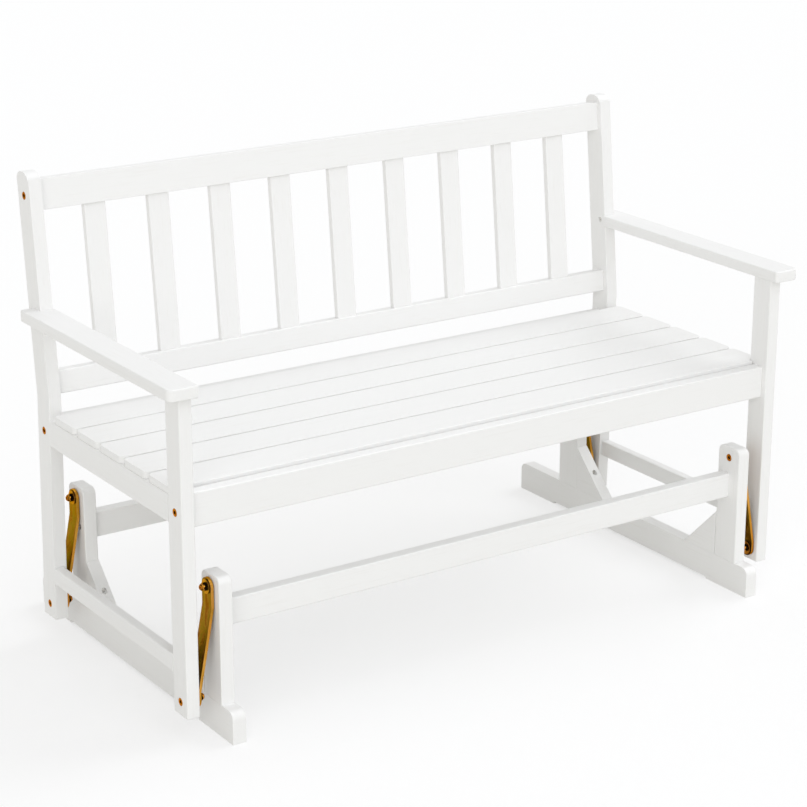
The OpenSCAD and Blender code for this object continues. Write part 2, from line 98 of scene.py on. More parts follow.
class Graph:
    """A node tree under construction, with a short way to add and link nodes."""

    def __init__(self, tree: bpy.types.NodeTree) -> None:
        """Keeps the tree.

        Args:
            tree: the shader or geometry tree that the nodes go into.
        """
        self.tree = tree

    def add(self, kind: str, inputs: dict | None = None, **settings: object) -> bpy.types.Node:
        """Adds a node.

        Args:
            kind: the node's type.
            inputs: what goes into its sockets, by name or number: a value, a socket or a node.
            settings: its own properties, by name.

        Returns:
            The new node.
        """
        node = self.tree.nodes.new(kind)
        for name, value in settings.items():
            setattr(node, name, value)
        for key, value in (inputs or {}).items():
            for one in value if isinstance(value, list) else [value]:
                self.feed(node.inputs[key], one)
        return node

    def feed(self, socket: bpy.types.NodeSocket, value: object) -> None:
        """Links or sets one input.

        Args:
            socket: the input.
            value: a node, whose first output is used, a socket or a plain value.
        """
        if isinstance(value, bpy.types.Node):
            value = value.outputs[0]
        if isinstance(value, bpy.types.NodeSocket):
            self.tree.links.new(value, socket)
        else:
            socket.default_value = value

    def math(self, operation: str, *values: object) -> bpy.types.Node:
        """Adds a Math node.

        Args:
            operation: the node's operation.
            values: its one, two or three inputs.

        Returns:
            The new node.
        """
        return self.add("ShaderNodeMath", dict(enumerate(values)), operation=operation)

    def times(self, value: object, factor: float) -> bpy.types.Node:
        """Returns a Math node that multiplies a value by a factor."""
        return self.math("MULTIPLY", value, factor)

    def remap(self, value: object, start: tuple, end: tuple = (0.0, 1.0)) -> bpy.types.Node:
        """Adds a Map Range node.

        Args:
            value: the value to map.
            start: the range that it comes from.
            end: the range that it goes to.

        Returns:
            The new node.
        """
        return self.add("ShaderNodeMapRange", {
            "Value": value, "From Min": start[0], "From Max": start[1], "To Min": end[0], "To Max": end[1]})

    def noise(self, place: object, scale: float, detail: float, roughness: float = 0.5) -> object:
        """Adds a Noise Texture node.

        Args:
            place: where the noise is read.
            scale: how fine it is.
            detail: how many finer layers it has.
            roughness: how strong those are.

        Returns:
            The new node's Fac output.
        """
        return self.add("ShaderNodeTexNoise", {
            "Vector": place, "Scale": scale, "Detail": detail, "Roughness": roughness}).outputs["Fac"]

    def vector(self, x: object = 0.0, y: object = 0.0, z: object = 0.0) -> bpy.types.Node:
        """Adds a Combine XYZ node.

        Args:
            x: the first component, a value or a socket.
            y: the second one.
            z: the third one.

        Returns:
            The new node.
        """
        return self.add("ShaderNodeCombineXYZ", {0: x, 1: y, 2: z})


class SizedTree(Graph):
    """A Geometry Nodes tree with named inputs for its sizes, a material input and one geometry each way."""

    def __init__(self, name: str, sizes: dict[str, str]) -> None:
        """Makes the empty tree.

        Args:
            name: the tree's name.
            sizes: each input's name and its socket type, such as Float or Int.
        """
        super().__init__(bpy.data.node_groups.new(name, "GeometryNodeTree"))
        face = self.tree.interface
        face.new_socket(name="Places", in_out="INPUT", socket_type="NodeSocketGeometry")
        for size, kind in {**sizes, "Finish": "Material"}.items():
            face.new_socket(name=size, in_out="INPUT", socket_type=f"NodeSocket{kind}")
        face.new_socket(name="Piece", in_out="OUTPUT", socket_type="NodeSocketGeometry")
        self.given = self.tree.nodes.new("NodeGroupInput").outputs
        self.result = self.tree.nodes.new("NodeGroupOutput").inputs

    def close(self, geometry: object) -> None:
        """Ends the tree.

        Args:
            geometry: the node or socket whose geometry becomes the piece.
        """
        smooth = self.add("GeometryNodeSetShadeSmooth", {0: geometry})
        real = self.add("GeometryNodeRealizeInstances", {0: smooth})
        self.feed(self.result[0], self.add("GeometryNodeSetMaterial",
                                           {"Geometry": real, "Material": self.given["Finish"]}))

    def put_on(self, piece: bpy.types.Object, **values: object) -> None:
        """Adds the tree to an object as a modifier.

        Args:
            piece: the object.
            values: each input's value, by its name with _ for a space.
        """
        modifier = piece.modifiers.new(self.tree.name, "NODES")
        modifier.node_group = self.tree
        for item in self.tree.interface.items_tree:
            key = item.name.replace(" ", "_").lower()
            if item.in_out == "INPUT" and key in values:
                modifier[item.identifier] = values[key]

    def prism(self, outline: object, height: object) -> bpy.types.Node:
        """Adds the nodes that fill a flat curve and raise it along Z.

        Args:
            outline: the closed curve.
            height: how far up it goes.

        Returns:
            The node whose mesh is the closed prism.
        """
        low = self.add("GeometryNodeFillCurve", {0: outline}, mode="NGONS")
        high = self.add("GeometryNodeExtrudeMesh", {
            "Mesh": low, "Offset": self.vector(0.0, 0.0, 1.0), "Offset Scale": height, "Individual": False})
        flipped = self.add("GeometryNodeFlipFaces", {0: low})
        both = self.add("GeometryNodeJoinGeometry", {0: [high, flipped]})
        return self.add("GeometryNodeMergeByDistance", {"Geometry": both, "Distance": WELD})

    def rod(self, radius: object, length: object, sides: object, start: object = 0.0) -> bpy.types.Node:
        """Adds a cylinder that stands on the XY plane or above it.

        Args:
            radius: its radius.
            length: its length along Z.
            sides: how many sides it has.
            start: the height of its lower end.

        Returns:
            The node whose mesh is the cylinder.
        """
        bar = self.add("GeometryNodeMeshCylinder", {"Vertices": sides, "Radius": radius, "Depth": length})
        middle = self.math("ADD", start, self.times(length, 0.5))
        return self.add("GeometryNodeTransform",
                        {"Geometry": bar.outputs["Mesh"], "Translation": self.vector(0.0, 0.0, middle)})

    def pocket(self, radius: object, depth: object, sides: object, face: object = 0.0) -> bpy.types.Node:
        """Adds the cylinder that cuts a pocket, and reaches as far out of the face as into it.

        Args:
            radius: the pocket's radius.
            depth: its depth.
            sides: how many sides it has.
            face: the height of the face that it goes into.

        Returns:
            The node whose mesh is the cylinder.
        """
        return self.rod(radius, self.times(depth, 2.0), sides, self.math("SUBTRACT", face, depth))

    def combine(self, operation: str, first: object, *others: object) -> bpy.types.Node:
        """Adds a Mesh Boolean.

        Args:
            operation: DIFFERENCE, INTERSECT or UNION.
            first: the mesh to cut from, or the first of those to combine.
            others: the other meshes.

        Returns:
            The new node.
        """
        node = self.add("GeometryNodeMeshBoolean", operation=operation, solver="EXACT")
        self.feed(node.inputs["Mesh 1" if operation == "DIFFERENCE" else "Mesh 2"], first)
        for other in others:
            self.feed(node.inputs["Mesh 2"], other)
        return node

    def stand_at_places(self, part: object) -> bpy.types.Node:
        """Puts a copy of a part at each place, with its Z along the place's aim.

        Args:
            part: the mesh to copy.

        Returns:
            The node whose geometry is the copies.
        """
        aim = self.add("GeometryNodeInputNamedAttribute", {"Name": AIM}, data_type="FLOAT_VECTOR")
        turn = self.add("FunctionNodeAlignRotationToVector", {"Vector": aim.outputs["Attribute"]}, axis="Z")
        return self.add("GeometryNodeInstanceOnPoints",
                        {"Points": self.given["Places"], "Instance": part, "Rotation": turn})


@dataclass(frozen=True)
class Softness:
    """How the edges of a piece are rounded."""

    radius: float
    segments: int = 3
    pull_to_large_faces: int = 100

    def put_on(self, piece: bpy.types.Object, by_weight: bool = False) -> None:
        """Adds the rounding as a modifier.

        Args:
            piece: the object.
            by_weight: whether each edge's own weight scales the radius.
        """
        bevel = piece.modifiers.new("softened_edges", "BEVEL")
        bevel.width = self.radius
        bevel.segments = self.segments
        bevel.limit_method = "WEIGHT" if by_weight else "ANGLE"
        bevel.angle_limit = SHARP_FROM
        bevel.loop_slide = False
        shading = piece.modifiers.new("flat_faces", "WEIGHTED_NORMAL")
        shading.weight = self.pull_to_large_faces


def new_material(name: str) -> tuple[bpy.types.Material, Graph, bpy.types.Node]:
    """Makes a material.

    Args:
        name: its name.

    Returns:
        The material, its graph and its shader node.
    """
    made = bpy.data.materials.new(name)
    made.use_nodes = True
    return made, Graph(made.node_tree), made.node_tree.nodes["Principled BSDF"]


@dataclass(frozen=True)
class SatinPaint:
    """White satin paint on planed wood: a closed coat through which the grain shows a little."""

    colour: tuple[float, float, float] = (0.86, 0.858, 0.85)
    thin_colour: tuple[float, float, float] = (0.80, 0.79, 0.765)
    roughness: tuple[float, float] = (0.36, 0.5)
    grain_lines: float = 260.0
    brush_lines: float = 60.0
    patches: float = 3.0
    pores_between: tuple[float, float] = (0.55, 0.8)
    relief: float = 0.00025
    relief_strength: float = 0.35
    line_relief: float = 0.35
    specular: float = 0.4

    def material(self, grain: Grain) -> bpy.types.Material:
        """Makes the material, once for each way the grain runs.

        Args:
            grain: the way the board's grain runs.

        Returns:
            The material.
        """
        name = f"satin_paint_{grain.name.lower()}"
        if name in bpy.data.materials:
            return bpy.data.materials[name]
        made, g, shader = new_material(name)
        place = g.add("ShaderNodeTexCoord").outputs["Object"]
        along = g.add("ShaderNodeMapping", {"Vector": place, "Scale": grain.value})
        lines = g.noise(along, self.grain_lines, detail=4.0, roughness=0.6)
        brush = g.noise(along, self.brush_lines, detail=3.0)
        pores = g.remap(lines, self.pores_between)
        thin = g.math("MULTIPLY", pores, g.noise(place, self.patches, detail=2.0))
        colour = g.add("ShaderNodeMix", {0: thin, 6: (*self.colour, 1.0), 7: (*self.thin_colour, 1.0)},
                       data_type="RGBA")
        height = g.math("ADD", g.times(lines, self.line_relief), brush)
        bump = g.add("ShaderNodeBump", {
            "Height": height, "Strength": self.relief_strength, "Distance": self.relief})
        g.feed(shader.inputs["Base Color"], colour.outputs[2])
        g.feed(shader.inputs["Roughness"], g.remap(brush, NOISE_RANGE, self.roughness))
        g.feed(shader.inputs["Normal"], bump)
        shader.inputs["Specular IOR Level"].default_value = self.specular
        return made


@dataclass(frozen=True)
class ZincPlate:
    """Passivated zinc on steel, with soft bands of colour, fine rolled streaks along its height and, where
    set, painted shade towards the bottom.
    """

    name: str
    bands: tuple[tuple[float, tuple[float, float, float]], ...]
    edge_colour: tuple[float, float, float] = (0.95, 0.62, 0.20)
    # Painted shade: below these heights the colour darkens to this share.
    painted_shade_below: tuple[float, float] = (-1.0, 0.0)
    painted_shade_share: float = 1.0
    band_scale: float = 60.0
    band_squeeze: float = 0.12
    streak_scale: float = 900.0
    streak_squeeze: float = 0.03
    streak_share: float = 0.25
    roughness: tuple[float, float] = (0.26, 0.42)
    relief: float = 0.0001
    relief_strength: float = 0.3

    def material(self) -> bpy.types.Material:
        """Makes the material once.

        Returns:
            The material. As painted shade, its colour darkens towards the bottom: it is full above the
            higher of the two shade heights and falls to the shade share below the lower.
        """
        if self.name in bpy.data.materials:
            return bpy.data.materials[self.name]
        made, g, shader = new_material(self.name)
        place = g.add("ShaderNodeTexCoord").outputs["Object"]
        along, streaked = [
            g.add("ShaderNodeMapping", {"Vector": place, "Scale": (1.0, 1.0, squeeze)})
            for squeeze in (self.band_squeeze, self.streak_squeeze)]
        streaks = g.noise(streaked, self.streak_scale, detail=2.0)
        ramp = g.add("ShaderNodeValToRGB", {"Fac": g.add("ShaderNodeMix", {
            "Factor": self.streak_share, "B": streaks,
            "A": g.noise(along, self.band_scale, detail=3.0, roughness=0.55)})})
        stops = ramp.color_ramp.elements
        for place_on_ramp, colour in self.bands:
            stops.new(place_on_ramp).color = (*colour, 1.0)
        # A new ramp has a black and a white stop at its ends, which go.
        stops.remove(stops[0])
        stops.remove(stops[-1])
        height = g.add("ShaderNodeSeparateXYZ", {0: place}).outputs["Z"]
        # Painted shade: a factor that darkens the colour towards the bottom.
        light = g.remap(height, self.painted_shade_below, (self.painted_shade_share, 1.0))
        colour = g.add("ShaderNodeVectorMath", {0: ramp, 1: g.vector(light, light, light)},
                       operation="MULTIPLY")
        bump = g.add("ShaderNodeBump", {
            "Height": streaks, "Strength": self.relief_strength, "Distance": self.relief})
        g.feed(shader.inputs["Base Color"], colour)
        g.feed(shader.inputs["Roughness"], g.remap(streaks, NOISE_RANGE, self.roughness))
        g.feed(shader.inputs["Normal"], bump)
        shader.inputs["Specular Tint"].default_value = (*self.edge_colour, 1.0)
        shader.inputs["Metallic"].default_value = 1.0
        return made


PAINT = SatinPaint()
GOLD_ZINC = ZincPlate("gold_zinc", (
    (0.40, (0.44, 0.155, 0.018)),
    (0.47, (0.66, 0.30, 0.045)),
    (0.53, (0.46, 0.23, 0.025)),
    (0.60, (0.68, 0.34, 0.065)),
))
# The links' olive passivated colour, kept darker than the gold zinc as a painted reflection of the shaded
# wood beside them, and darker still towards the bottom as painted shade.
LINK_ZINC = ZincPlate("link_zinc", (
    (0.41, (0.14, 0.056, 0.010)),
    (0.46, (0.37, 0.162, 0.030)),
    (0.50, (0.20, 0.165, 0.014)),
    (0.55, (0.39, 0.19, 0.038)),
    (0.60, (0.24, 0.092, 0.017)),
), edge_colour=(0.95, 0.70, 0.32), painted_shade_below=(0.075, 0.20), painted_shade_share=0.46)
ORANGE_ZINC = ZincPlate("orange_zinc", (
    (0.40, (0.40, 0.125, 0.010)),
    (0.60, (0.56, 0.20, 0.018)),
))
PALE_ZINC = ZincPlate("pale_zinc", (
    (0.40, (0.62, 0.61, 0.58)),
    (0.60, (0.80, 0.79, 0.76)),
), edge_colour=(1.0, 1.0, 1.0))
# Painted shade: a near-black finish that stands in for the shade in holes, recesses, gaps and crevices.
PAINTED_SHADE = ZincPlate("shaded_zinc", (
    (0.40, (0.010, 0.005, 0.002)),
    (0.60, (0.022, 0.011, 0.003)),
), edge_colour=(0.05, 0.03, 0.01), roughness=(0.6, 0.8))


def linked_groups(items: list, linked: Callable[[object], list]) -> list[list]:
    """Groups things that hang together.

    Args:
        items: the things. The groups come in the order of their first ones.
        linked: gives the things next to one.

    Returns:
        The groups.
    """
    left, groups = set(items), []
    for start in items:
        if start not in left:
            continue
        left.discard(start)
        group, waiting = [], [start]
        while waiting:
            item = waiting.pop()
            group.append(item)
            for other in linked(item):
                if other in left:
                    left.discard(other)
                    waiting.append(other)
        groups.append(group)
    return groups


def islands(node: str) -> list[tuple[Vector, Vector]]:
    """Finds the separate solids of a CAD node.

    Args:
        node: the node's name.

    Returns:
        The lowest and highest corner of each solid, in the node's own order.
    """
    shape = bmesh.new()
    shape.from_mesh(frame["nodes"][node].data)
    bmesh.ops.remove_doubles(shape, verts=shape.verts, dist=CAD_WELD)
    found = []
    for group in linked_groups(list(shape.verts), lambda v: [e.other_vert(v) for e in v.link_edges]):
        axes = list(zip(*(vertex.co for vertex in group)))
        found.append((Vector(map(min, axes)), Vector(map(max, axes))))
    shape.free()
    return found


def stations(node: str, axis: int, start: End) -> tuple[list[Vector], list[Vector], float]:
    """Finds where the equal solids of a CAD node start, and which way they go from there.

    Args:
        node: the node's name.
        axis: the axis that the solids lie along.
        start: which end they start at.

    Returns:
        The starts, the ways and the solids' length.
    """
    starts, ways, length = [], [], 0.0
    for low, high in islands(node):
        side = 1.0 if low[axis] + high[axis] > 0 else -1.0
        near, far = sorted((low[axis], high[axis]), key=abs)
        place = (low + high) / 2
        place[axis] = near if start is End.INNER else far
        way = Vector((0.0, 0.0, 0.0))
        way[axis] = side * start.value
        starts.append(place)
        ways.append(way)
        length = high[axis] - low[axis]
    return starts, ways, length


def settle(piece: bpy.types.Object) -> bpy.types.Object:
    """Turns an object and its modifiers into a plain mesh.

    Args:
        piece: the object.

    Returns:
        The same object, with the finished mesh and no modifier.
    """
    bpy.context.view_layer.update()
    graph = bpy.context.evaluated_depsgraph_get()
    mesh = bpy.data.meshes.new_from_object(
        piece.evaluated_get(graph), preserve_all_data_layers=True, depsgraph=graph)
    piece.modifiers.clear()
    piece.data = mesh
    mesh.name = piece.name
    return piece


def new_object(name: str, data: bpy.types.ID | None = None) -> bpy.types.Object:
    """Makes an object in the scene.

    Args:
        name: its name.
        data: its mesh, lamp or camera, or none for an empty mesh.

    Returns:
        The object.
    """
    piece = bpy.data.objects.new(name, data or bpy.data.meshes.new(name))
    bpy.context.scene.collection.objects.link(piece)
    return piece


def hand_over(piece: bpy.types.Object, slot: str, *nodes: str) -> None:
    """Lets a finished piece stand for its CAD nodes and ride on their body.

    Args:
        piece: the piece.
        slot: the record's material slot; not used.
        nodes: the CAD nodes, all on one body.
    """
    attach(piece, BODY_OF[nodes[0]])
    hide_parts(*nodes)
    LOG.info("%s: %d faces, on %s", piece.name, len(piece.data.polygons), BODY_OF[nodes[0]])


@dataclass
class Boards:
    """The planed boards: each is its CAD solid with rounded edges, painted along its grain, with painted
    shade on the walls of its holes.
    """

    nodes: tuple[str, ...]
    softness: Softness = Softness(0.0026)
    joint_share: float = 0.22
    hole_share: float = 0.14
    hole_span: float = 0.045
    joint_reach: float = 0.0006
    flat_within: float = 0.002

    def build(self) -> None:
        """Makes and hands over every board."""
        for node in self.nodes:
            mesh = frame["nodes"][node].data.copy()
            mesh.name = f"{node}_board"
            self.weigh_edges(mesh, node)
            piece = new_object(f"{node}_board", mesh)
            self.softness.put_on(piece, by_weight=True)
            mesh.materials.clear()
            mesh.materials.append(PAINT.material(Grain.of_box(*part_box(node))))
            # The second material is painted shade, for the walls of the holes.
            mesh.materials.append(PAINTED_SHADE.material())
            hand_over(settle(piece), PAINT_SLOT, node)

    def weigh_edges(self, mesh: bpy.types.Mesh, node: str) -> None:
        """Merges a copied mesh, gives every edge its share of the rounding, and gives the walls of the
        holes the painted shade.

        Args:
            mesh: the copy of the node's mesh.
            node: the node's name.
        """
        shape = bmesh.new()
        shape.from_mesh(mesh)
        bmesh.ops.remove_doubles(shape, verts=shape.verts, dist=CAD_WELD)
        bmesh.ops.dissolve_limit(
            shape, angle_limit=self.flat_within, verts=shape.verts, edges=shape.edges)
        weight = shape.edges.layers.float.new("bevel_weight_edge")
        sharp = [e for e in shape.edges if e.calc_face_angle(0.0) > SHARP_FROM]
        neighbours = [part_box(n) for n in self.nodes if n != node and BODY_OF[n] == BODY_OF[node]]
        on_holes = set()
        for chain in linked_groups(sharp, lambda e: [o for v in e.verts for o in v.link_edges]):
            ends = [v for e in chain for v in e.verts]
            round_a_hole = max(max(c) - min(c) for c in zip(*(v.co for v in ends))) < self.hole_span
            if round_a_hole:
                on_holes.update(ends)
            for edge in chain:
                middle = (edge.verts[0].co + edge.verts[1].co) / 2
                if round_a_hole:
                    edge[weight] = self.hole_share
                elif any(self.within(middle, *box) for box in neighbours):
                    edge[weight] = self.joint_share
                else:
                    edge[weight] = 1.0
        # Faces wholly on the rims of a hole, its walls, get the second material, the near-black painted
        # shade.
        for face in shape.faces:
            face.smooth = True
            face.material_index = int(on_holes.issuperset(face.verts))
        shape.to_mesh(mesh)
        shape.free()

    def within(self, point: Vector, low: Vector, high: Vector) -> bool:
        """Returns whether a point lies in a box or on its faces."""
        return all(low[i] - self.joint_reach < point[i] < high[i] + self.joint_reach for i in (X, Y, Z))


def slat_row_tree() -> SizedTree:
    """Builds the tree that lays out a row of equal slats, with an optional notch at both ends.

    Returns:
        The tree. A slat lies along X, its thickness goes up from its place, and the row starts at Start.
    """
    tree = SizedTree("slat_row", {
        "Count": "Int", "Start": "Vector", "Pitch": "Vector", "Length": "Float", "Width": "Float",
        "Thickness": "Float", "Corner radius": "Float", "Turn": "Vector",
        "Notched": "Bool", "Notch size": "Vector", "Notch place": "Vector"})
    given = tree.given
    outline = tree.add("GeometryNodeCurvePrimitiveQuadrilateral",
                       {"Width": given["Length"], "Height": given["Width"]})
    rounded = tree.add("GeometryNodeFilletCurve",
                       {"Curve": outline, "Count": SLAT_CORNER_STEPS, "Radius": given["Corner radius"]},
                       mode="POLY")
    slat = tree.add("GeometryNodeTransform", {
        "Geometry": tree.prism(rounded, given["Thickness"]), "Rotation": given["Turn"]})
    line = tree.add("GeometryNodeMeshLine", {
        "Count": given["Count"], "Start Location": given["Start"], "Offset": given["Pitch"]})
    row = tree.add("GeometryNodeRealizeInstances", {
        0: tree.add("GeometryNodeInstanceOnPoints", {"Points": line, "Instance": slat})})
    block = tree.add("GeometryNodeMeshCube", {"Size": given["Notch size"]})
    mirror = tree.add("ShaderNodeVectorMath", {0: given["Notch place"], 1: (-1.0, 1.0, 1.0)},
                      operation="MULTIPLY")
    ends = [tree.add("GeometryNodeTransform", {"Geometry": block.outputs["Mesh"], "Translation": place})
            for place in (given["Notch place"], mirror)]
    cut = tree.combine("DIFFERENCE", row, *ends)
    tree.close(tree.add(
        "GeometryNodeSwitch", {"Switch": given["Notched"], "False": row, "True": cut.outputs["Mesh"]},
        input_type="GEOMETRY"))
    return tree


@dataclass
class SeatSlats:
    """The five seat slats, with round corners and long edges, the front one notched round the legs."""

    tree: SizedTree
    nodes: tuple[str, ...] = tuple(f"seat_slat_{n}" for n in range(1, 6))
    corner_radius: float = 0.010
    play: float = 0.001
    softness: Softness = Softness(0.0038, segments=4)

    def build(self) -> None:
        """Makes and hands over the row of slats."""
        low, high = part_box(self.nodes[0])
        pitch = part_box(self.nodes[1])[0].y - low.y
        leg_low, leg_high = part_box("right_front_leg")
        notch_reach = leg_high.y + self.play - leg_low.y
        piece = new_object("seat_slats")
        self.tree.put_on(
            piece, count=len(self.nodes), start=(0.0, (low.y + high.y) / 2, low.z), pitch=(0.0, pitch, 0.0),
            length=high.x - low.x, width=high.y - low.y, thickness=high.z - low.z,
            corner_radius=self.corner_radius, notched=True,
            notch_size=(2 * (leg_high.x - leg_low.x + self.play), notch_reach, 2 * (high.z - low.z)),
            notch_place=(leg_high.x, leg_low.y + notch_reach / 2, (low.z + high.z) / 2),
            finish=PAINT.material(Grain.ALONG_X))
        self.softness.put_on(piece)
        hand_over(settle(piece), PAINT_SLOT, *self.nodes)


@dataclass
class BackSlats:
    """The nine upright slats of the back, let into its rails."""

    tree: SizedTree
    nodes: tuple[str, ...] = tuple(f"back_slat_{n}" for n in range(1, 10))
    corner_radius: float = 0.002
    thickness: float = 0.012
    lean: float = math.radians(6)
    softness: Softness = Softness(0.0016)

    def build(self) -> None:
        """Makes and hands over the row of slats."""
        boxes = [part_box(node) for node in self.nodes]
        low, high = boxes[0]
        width = high.x - low.x
        upright = high.z - low.z - self.thickness * math.sin(self.lean)
        face = Vector((0.0, math.cos(self.lean), -math.sin(self.lean))) * self.thickness / 2
        start = (low + high) / 2 + face
        piece = new_object("back_slats")
        self.tree.put_on(
            piece, count=len(self.nodes), start=tuple(start), pitch=(boxes[1][0].x - low.x, 0.0, 0.0),
            length=width, width=upright / math.cos(self.lean), thickness=self.thickness,
            corner_radius=self.corner_radius, turn=(math.pi / 2 - self.lean, 0.0, 0.0),
            finish=PAINT.material(Grain.ALONG_Z))
        self.softness.put_on(piece)
        hand_over(settle(piece), PAINT_SLOT, *self.nodes)


def fastener_tree() -> SizedTree:
    """Builds the tree for bolts and screws: a head with a recess, and a shank.

    Returns:
        The tree. At each place the head's top is at the place, and the shank points along its aim.
    """
    tree = SizedTree("fasteners", {
        "Head radius": "Float", "Head height": "Float", "Shank radius": "Float", "Length": "Float",
        "Recess radius": "Float", "Recess depth": "Float", "Recess sides": "Int",
        "Dimple radius": "Float", "Dimple depth": "Float"})
    given = tree.given
    head = tree.rod(given["Head radius"], given["Head height"], ROUND_SIDES)
    shank = tree.rod(given["Shank radius"], given["Length"], ROUND_SIDES)
    both = tree.combine("UNION", head, shank)
    recess = tree.pocket(given["Recess radius"], given["Recess depth"], given["Recess sides"])
    dimple = tree.pocket(given["Dimple radius"], given["Dimple depth"], ROUND_SIDES, given["Length"])
    hollowed = tree.combine("DIFFERENCE", both.outputs["Mesh"], recess, dimple)
    tree.close(tree.stand_at_places(hollowed.outputs["Mesh"]))
    return tree


@dataclass(frozen=True)
class PaintedShadeRing:
    """The faces of a set that get painted shade: those within a ring round each piece's own axis."""

    radii: tuple[float, float]
    heights: tuple[float, float]
    walls_only: bool = False
    play: float = 0.00005
    wall_tilt: float = 0.3

    def darken(self, piece: bpy.types.Object, places: list[Vector], aims: list[Vector]) -> None:
        """Paints those faces with the near-black painted shade.

        Args:
            piece: the finished set.
            places: the points that the copies stand on.
            aims: the ways their Z points.
        """
        if PAINTED_SHADE.name not in piece.data.materials:
            piece.data.materials.append(PAINTED_SHADE.material())
        shaded = piece.data.materials.find(PAINTED_SHADE.name)
        for face in piece.data.polygons:
            place, aim = min(zip(places, aims), key=lambda spot: (face.center - spot[0]).length)
            points = [piece.data.vertices[i].co - place for i in face.vertices]
            heights = [point.dot(aim) for point in points]
            radii = [(point - aim * height).length for point, height in zip(points, heights)]
            inside = self.holds(radii, self.radii) and self.holds(heights, self.heights)
            is_wall = abs(face.normal.dot(aim)) < self.wall_tilt
            if inside and (is_wall or not self.walls_only):
                face.material_index = shaded

    def holds(self, values: list[float], limits: tuple[float, float]) -> bool:
        """Returns whether every value lies between the limits."""
        return limits[0] - self.play <= min(values) and max(values) <= limits[1] + self.play


@dataclass
class Fasteners:
    """A set of equal bolts or screws on one body."""

    tree: SizedTree
    node: str
    axis: int
    head: End
    shank_radius: float
    head_radius: float
    head_height: float
    recess_radius: float
    recess_depth: float
    recess_sides: int = 6
    finish: ZincPlate = ORANGE_ZINC
    dimple_share: float = 0.45
    dimple_depth: float = 0.0014
    softness: Softness = Softness(0.0004, segments=2)

    def build(self) -> None:
        """Makes and hands over the set."""
        tops, aims, length = stations(self.node, self.axis, self.head)
        dimple_radius = self.dimple_share * self.shank_radius
        piece = object_with_places(self.node + "_set", tops, aims)
        self.tree.put_on(
            piece, head_radius=self.head_radius, head_height=self.head_height,
            shank_radius=self.shank_radius, length=length, recess_radius=self.recess_radius,
            recess_depth=self.recess_depth, recess_sides=self.recess_sides, dimple_radius=dimple_radius,
            dimple_depth=self.dimple_depth, finish=self.finish.material())
        self.softness.put_on(piece)
        settle(piece)
        # Painted shade: near-black on the rim of a pale head, where the gap round it lies in shade, or else
        # in the recess, and in the dimple at the shank's end.
        if self.finish is PALE_ZINC:
            rim = self.head_radius - 2 * self.softness.radius
            PaintedShadeRing((rim, self.head_radius), (0.0, self.head_height)).darken(piece, tops, aims)
        else:
            PaintedShadeRing((0.0, self.recess_radius), (0.0, self.recess_depth)).darken(piece, tops, aims)
        PaintedShadeRing((0.0, dimple_radius), (length - self.dimple_depth, length)).darken(piece, tops, aims)
        hand_over(piece, STEEL_SLOT if self.node == "skid_screws" else ZINC_SLOT, self.node)


def object_with_places(name: str, places: list[Vector], aims: list[Vector]) -> bpy.types.Object:
    """Makes an object whose points are places for copies of a part.

    Args:
        name: its name.
        places: the points.
        aims: the way each copy's Z points.

    Returns:
        The object.
    """
    mesh = bpy.data.meshes.new(name)
    mesh.from_pydata(places, [], [])
    aim = mesh.attributes.new(AIM, "FLOAT_VECTOR", "POINT")
    for i, way in enumerate(aims):
        aim.data[i].vector = way
    return new_object(name, mesh)


def lock_nut_tree() -> SizedTree:
    """Builds the tree for lock nuts: a chamfered hexagon, a round collar with a groove and a bore.

    Returns:
        The tree. At each place the nut stands on the place, and its collar points along the aim.
    """
    tree = SizedTree("lock_nuts", {
        "Flats": "Float", "Hexagon height": "Float", "Collar step": "Float", "Height": "Float",
        "Bore radius": "Float", "Groove radius": "Float", "Groove depth": "Float"})
    given = tree.given
    half = tree.times(given["Flats"], 0.5)
    hexagon = tree.rod(tree.math("DIVIDE", half, math.cos(math.pi / 6)), given["Hexagon height"], 6)
    cone = tree.add("GeometryNodeMeshCone", {
        "Vertices": ROUND_SIDES, "Radius Top": half,
        "Radius Bottom": tree.times(given["Flats"], CHAMFER_CONE), "Depth": given["Hexagon height"]})
    chamfered = tree.combine("INTERSECT", hexagon, cone.outputs["Mesh"])
    collar = tree.rod(tree.math("SUBTRACT", half, given["Collar step"]), given["Height"], ROUND_SIDES)
    whole = tree.combine("UNION", chamfered.outputs["Mesh"], collar)
    bore = tree.rod(given["Bore radius"], tree.times(given["Height"], 3.0), ROUND_SIDES,
                    tree.times(given["Height"], -1.0))
    groove = tree.rod(given["Groove radius"], given["Height"], ROUND_SIDES,
                      tree.math("SUBTRACT", given["Height"], given["Groove depth"]))
    hollowed = tree.combine("DIFFERENCE", whole.outputs["Mesh"], bore, groove)
    tree.close(tree.stand_at_places(hollowed.outputs["Mesh"]))
    return tree


def ring_tree() -> SizedTree:
    """Builds the tree for washers and bushes: a short tube.

    Returns:
        The tree. At each place the ring is centred on the place, with its axis along the aim.
    """
    tree = SizedTree("rings", {"Outer radius": "Float", "Bore radius": "Float", "Thickness": "Float"})
    given = tree.given
    start = tree.times(given["Thickness"], -0.5)
    disc = tree.rod(given["Outer radius"], given["Thickness"], ROUND_SIDES, start)
    bore = tree.rod(given["Bore radius"], tree.times(given["Thickness"], 3.0), ROUND_SIDES,
                    tree.times(given["Thickness"], -1.5))
    tree.close(tree.stand_at_places(tree.combine("DIFFERENCE", disc, bore).outputs["Mesh"]))
    return tree


